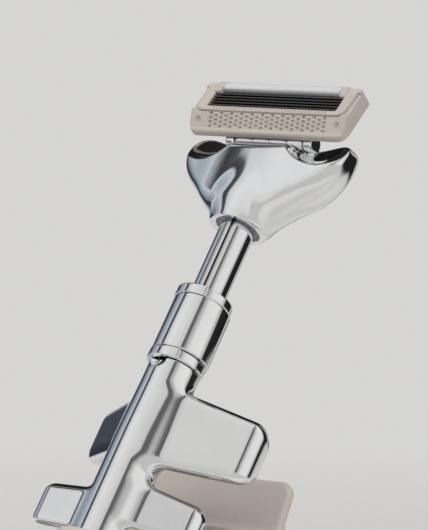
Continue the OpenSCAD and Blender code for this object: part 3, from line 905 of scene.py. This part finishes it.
# tones that the chrome reflects round the razor's axis: degrees from the camera's side towards its right
AROUND = [
    (-180, (0.22, 0.25, 0.29)),
    (-168, (0.56, 0.61, 0.66)),
    (-158, (0.34, 0.38, 0.42)),
    (-152, (0.07, 0.08, 0.10)),
    (-137, (0.03, 0.035, 0.045)),
    (-131, (0.20, 0.24, 0.28)),
    (-112, (0.40, 0.45, 0.50)),
    (-101, (0.58, 0.61, 0.64)),
    (-96, (0.05, 0.052, 0.055)),
    (-89, (0.09, 0.09, 0.09)),
    (-83, (0.68, 0.68, 0.69)),
    (-66, (0.82, 0.82, 0.82)),
    (-40, (0.76, 0.75, 0.73)),
    (-18, (0.66, 0.65, 0.64)),
    (-13, (0.12, 0.12, 0.12)),
    (-7, (0.14, 0.14, 0.138)),
    (4, (0.52, 0.515, 0.51)),
    (20, (0.82, 0.81, 0.79)),
    (60, (0.86, 0.85, 0.83)),
    (76, (0.55, 0.54, 0.53)),
    (84, (0.02, 0.02, 0.02)),
    (132, (0.015, 0.014, 0.014)),
    (137, (0.72, 0.71, 0.70)),
    (146, (0.48, 0.48, 0.48)),
    (157, (0.16, 0.16, 0.16)),
    (172, (0.26, 0.27, 0.28)),
]
AXIS = RAZOR.turn.col[2]
FRONT = (TO_CAMERA - AXIS * TO_CAMERA.dot(AXIS)).normalized()
RIGHT = AXIS.cross(FRONT)
GROUND = rgb(0.60, 0.59, 0.575)
# the dark upper back of the room, which the head's scoops reflect
DARK = direction(128, 34)


def studio():
    """World light: bands of light and shade round the razor's axis, over a pale ground."""
    world = bpy.data.worlds.new("studio")
    bpy.context.scene.world = world
    world.use_nodes = True
    s = Nodes(world.node_tree)
    look = s.node("ShaderNodeTexCoord").outputs["Generated"]
    angle = s.math("ARCTAN2", s.along(look, RIGHT), s.along(look, FRONT))
    turn = s.math("DIVIDE", angle, 2 * math.pi)
    ramp = s.node("ShaderNodeValToRGB", {"Fac": s.math("ADD", turn, 0.5)})
    ramp.color_ramp.interpolation = "EASE"
    points = ramp.color_ramp.elements
    while len(points) < len(AROUND):
        points.new(0.5)
    for point, (degrees, tone) in zip(points, AROUND):
        point.position = degrees / 360 + 0.5
        point.color = rgb(*tone)
    # the bands fade into the ground below, except on the left
    above = s.smooth(s.along(look, AXIS), 0.02, 0.26)
    left = s.smooth(s.along(look, -RIGHT), 0.25, 0.5)
    colour = s.mix(s.math("MAXIMUM", above, left), GROUND, ramp.outputs["Color"])
    colour = s.mix(s.smooth(s.along(look, DARK), 0.80, 0.93), colour, rgb(0.015, 0.015, 0.016))
    # the camera sees a plain pale wall
    seen = s.node("ShaderNodeLightPath").outputs["Is Camera Ray"]
    colour = s.mix(seen, colour, PALE)
    background = s.tree.nodes["Background"]
    s.tree.links.new(colour, background.inputs["Color"])
    background.inputs["Strength"].default_value = 1.0


def floor():
    """A pale floor that fades into the room's own tone with distance."""
    radius, rows = 0.4, 48
    points, faces = [(0, 0, 0)], []
    for i in range(rows):
        a = 2 * math.pi * i / rows
        points.append((radius * math.cos(a), radius * math.sin(a), 0))
        faces.append((0, i + 1, (i + 1) % rows + 1))
    mesh = bpy.data.meshes.new("floor")
    mesh.from_pydata(points, [], faces)
    piece = mesh_object("floor", mesh)
    s = Shader("floor", Roughness=0.55)
    where = s.node("ShaderNodeTexCoord").outputs["Object"]
    clouds = s.noise(where, 7, 4, 0.55)
    s.set("Base Color", s.mix(clouds, rgb(0.70, 0.69, 0.68), rgb(0.78, 0.775, 0.765)))
    s.set("Alpha", s.smooth(s.length(where), 0.12, 0.28, 1.0, 0.0))
    mesh.materials.append(s.material)


def soft_light(name, azimuth, elevation, distance, size, power, colour):
    """An area lamp aimed at the upper collar."""
    lamp = bpy.data.lights.new(name, "AREA")
    lamp.size = size
    lamp.energy = power
    lamp.color = colour
    away = direction(azimuth, elevation)
    holder = bpy.data.objects.new(name, lamp)
    holder.location = RAZOR.origin + away * distance
    holder.rotation_euler = away.to_track_quat("Z", "Y").to_euler()
    # the chrome reflects the room instead of the lamps
    holder.visible_glossy = False
    bpy.context.scene.collection.objects.link(holder)


def camera():
    """Looks at a point beside the upper collar from the photograph's side."""
    turn = TO_CAMERA.to_track_quat("Z", "Y")
    aim = RAZOR.origin + turn @ Vector((0.0017, 0.0077, 0))
    lens = bpy.data.cameras.new("camera")
    lens.lens = LENS
    lens.sensor_width = 36
    holder = bpy.data.objects.new("camera", lens)
    holder.location = aim + TO_CAMERA * VIEW_DISTANCE
    holder.rotation_euler = turn.to_euler()
    bpy.context.scene.collection.objects.link(holder)
    bpy.context.scene.camera = holder


studio()
floor()
soft_light("key", 205, 55, 0.9, 0.5, 3.5, (1, 0.98, 0.95))
soft_light("fill", -25, 40, 1.0, 0.6, 3.5, (1, 1, 1))
camera()
bpy.context.scene.view_settings.view_transform = "Standard"
